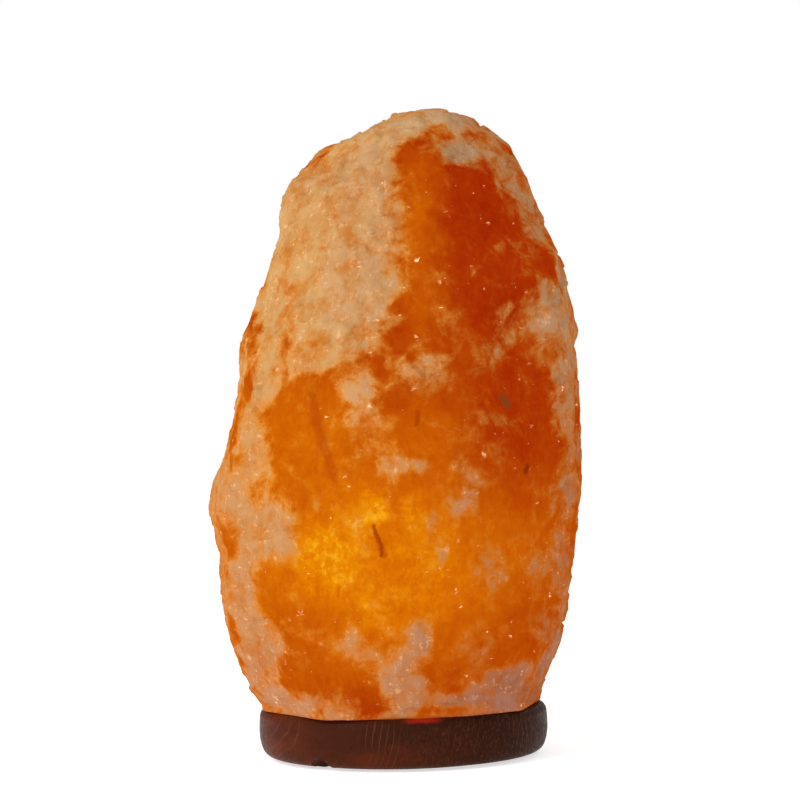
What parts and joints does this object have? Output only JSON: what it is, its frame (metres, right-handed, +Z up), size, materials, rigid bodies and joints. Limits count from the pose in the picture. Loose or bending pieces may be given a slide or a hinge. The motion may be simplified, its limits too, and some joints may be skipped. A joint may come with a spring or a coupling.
{
  "type": "salt crystal table lamp",
  "caption": "Hand-hewn salt lump on a round wooden base, lit from a bored hollow by a small screw-in bulb in a spring-clip lampholder that pulls out from below.",
  "frame": {"origin": "on the table, at the centre of the wooden disc's underside", "axes": "+Z up along the axis of the disc and the bulb, -Y towards the side seen in the picture, +X to its right"},
  "size_m": [0.1649, 0.1446, 0.284],
  "materials": {
    "salt": "satin",
    "stained_wood": "satin",
    "felt": "matte",
    "screw_steel": "satin",
    "plug_plastic": "matte",
    "holder_plastic": "satin",
    "bush_rubber": "matte",
    "steatite": "matte",
    "contact_brass": "satin",
    "spring_steel": "satin",
    "rivet_metal": "satin",
    "clear_glass": "gloss",
    "wire_metal": "satin",
    "filament_metal": "satin",
    "cap_metal": "satin",
    "black_glass": "gloss",
    "solder": "satin"
  },
  "bodies": {
    "lamp_body": {"salt_crystal": "salt", "wooden_disc": "stained_wood", "felt_pad": "felt", "base_screws": "screw_steel", "screw_plugs": "plug_plastic"},
    "lampholder": {"holder_cap": "holder_plastic", "entry_bush": "bush_rubber", "holder_sleeve": "holder_plastic", "contact_insert": "steatite", "centre_contact": "contact_brass", "side_contact": "contact_brass", "terminal_screws": "contact_brass", "threaded_shell": "contact_brass", "clip_feet": "spring_steel", "clip_rivets": "rivet_metal"},
    "left_wing": {"left_wing": "spring_steel"},
    "right_wing": {"right_wing": "spring_steel"},
    "bulb_foot": {"bulb_tip_contact": "solder"},
    "bulb": {"bulb_glass": "clear_glass", "bulb_stem": "clear_glass", "bulb_lead_wires": "wire_metal", "bulb_filament": "filament_metal", "bulb_filament_support": "wire_metal", "bulb_cap": "cap_metal", "bulb_insulator": "black_glass"}
  },
  "joints": [
    {"name": "holder_slide", "type": "slide", "parent": "lamp_body", "child": "lampholder", "axis": [0, 0, -1], "range_m": [0, 0.115]},
    {"name": "left_wing_hinge", "type": "hinge", "parent": "lampholder", "child": "left_wing", "pos_m": [-0.0166, 0, 0.0555], "axis": [0, -1, 0], "range_deg": [0, 8], "stiffness_Nm_per_rad": 0.3, "springref_deg": -2.86},
    {"name": "right_wing_hinge", "type": "hinge", "parent": "lampholder", "child": "right_wing", "pos_m": [0.0166, 0, 0.0555], "axis": [0, 1, 0], "range_deg": [0, 8], "stiffness_Nm_per_rad": 0.3, "springref_deg": -2.86},
    {"name": "bulb_rise", "type": "slide", "parent": "lampholder", "child": "bulb_foot", "axis": [0, 0, 1], "range_m": [0, 0.00987]},
    {"name": "bulb_turn", "type": "hinge", "parent": "bulb_foot", "child": "bulb", "pos_m": [0, 0, 0.05], "axis": [0, 0, 1], "range_deg": [0, 1260]}
  ],
  "couplings": [
    {"joint": "bulb_rise", "follows": "bulb_turn", "m_per_rad": 0.00044882}
  ]
}
